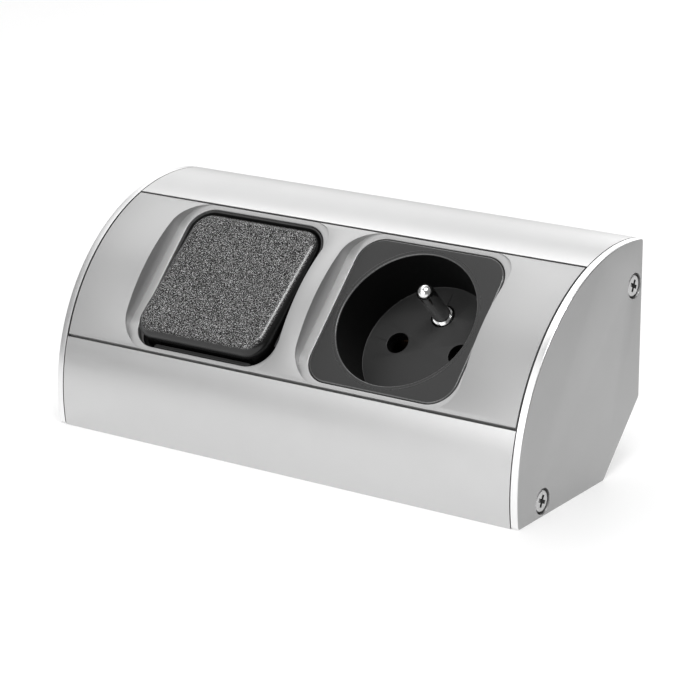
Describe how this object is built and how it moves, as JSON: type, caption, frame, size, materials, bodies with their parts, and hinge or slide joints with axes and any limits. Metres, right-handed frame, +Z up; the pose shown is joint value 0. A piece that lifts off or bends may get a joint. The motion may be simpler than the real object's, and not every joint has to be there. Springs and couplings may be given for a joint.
{
  "type": "corner power point",
  "caption": "Quarter-round aluminium power point for a desk or worktop corner, with a tilted panel holding a wide rocker switch and a recessed earthed socket.",
  "frame": {"origin": "centre of the bottom of the whole part's box", "axes": "+X along the body, to the right as seen from the front; +Y towards the wall behind it; +Z up"},
  "size_m": [0.147, 0.0612, 0.0613],
  "materials": {
    "anodised_aluminium": "satin anodised, fine brushed along the length",
    "cap_metal": "fine satin, bright cut edge",
    "grey_panel": "silver-grey satin",
    "black_grained_plastic": "coarse spark-eroded grain",
    "black_satin_plastic": "satin",
    "dark_grey_plastic": "moulded, matt",
    "white_plastic": "moulded, satin",
    "black_rubber": "matt",
    "zinc_steel": "bright zinc plated",
    "nickel": "nickel plated, bright",
    "brass": "plain",
    "copper": "copper alloy strip",
    "silver_contact": "silver alloy",
    "brown_wire": "wire insulation",
    "green_wire": "wire insulation"
  },
  "bodies": {
    "body": {"housing_profile": "anodised_aluminium", "front_panel": "grey_panel", "left_end_cap": "cap_metal", "right_end_cap": "cap_metal", "left_upper_cap_screw": "zinc_steel", "left_lower_cap_screw": "zinc_steel", "right_upper_cap_screw": "zinc_steel", "right_lower_cap_screw": "zinc_steel", "cable_grommet": "black_rubber", "earth_bond_screw": "zinc_steel", "earth_ring_tag": "brass", "switch_frame": "black_satin_plastic", "switch_base": "dark_grey_plastic", "common_contact": "copper", "switched_contact": "copper", "fixed_contact": "silver_contact", "common_terminal_screw": "zinc_steel", "switched_terminal_screw": "zinc_steel", "socket_faceplate": "black_satin_plastic", "socket_base": "dark_grey_plastic", "earth_pin": "nickel", "earth_strap": "brass", "live_contact": "copper", "neutral_contact": "copper", "live_terminal_screw": "zinc_steel", "neutral_terminal_screw": "zinc_steel", "earth_terminal_screw": "zinc_steel", "link_wire": "brown_wire", "earth_bond_wire": "green_wire"},
    "rocker": {"rocker_cap": "black_grained_plastic", "rocker_carrier": "white_plastic"},
    "plunger": {"contact_plunger": "white_plastic", "plunger_spring": "zinc_steel"},
    "see_saw": {"contact_rocker": "copper", "moving_contact": "silver_contact"}
  },
  "joints": [
    {"name": "rocker_tilt", "type": "hinge", "parent": "body", "child": "rocker", "pos_m": [-0.0281, -0.00841, 0.03906], "axis": [1, 0, 0], "range_deg": [0, 11.4]},
    {"name": "contact_snap", "type": "hinge", "parent": "body", "child": "see_saw", "pos_m": [-0.0281, -0.00028, 0.03093], "axis": [1, 0, 0], "range_deg": [-16, 0]},
    {"name": "plunger_travel", "type": "slide", "parent": "rocker", "child": "plunger", "axis": [0, -0.6334, 0.7738], "range_m": [0, 0.0008], "stiffness_N_per_m": 1500, "springref_m": -0.002, "deforming": ["plunger_spring"]}
  ],
  "couplings": [
    {"joint": "contact_snap", "follows": "rocker_tilt", "ratio": -1.4035}
  ]
}
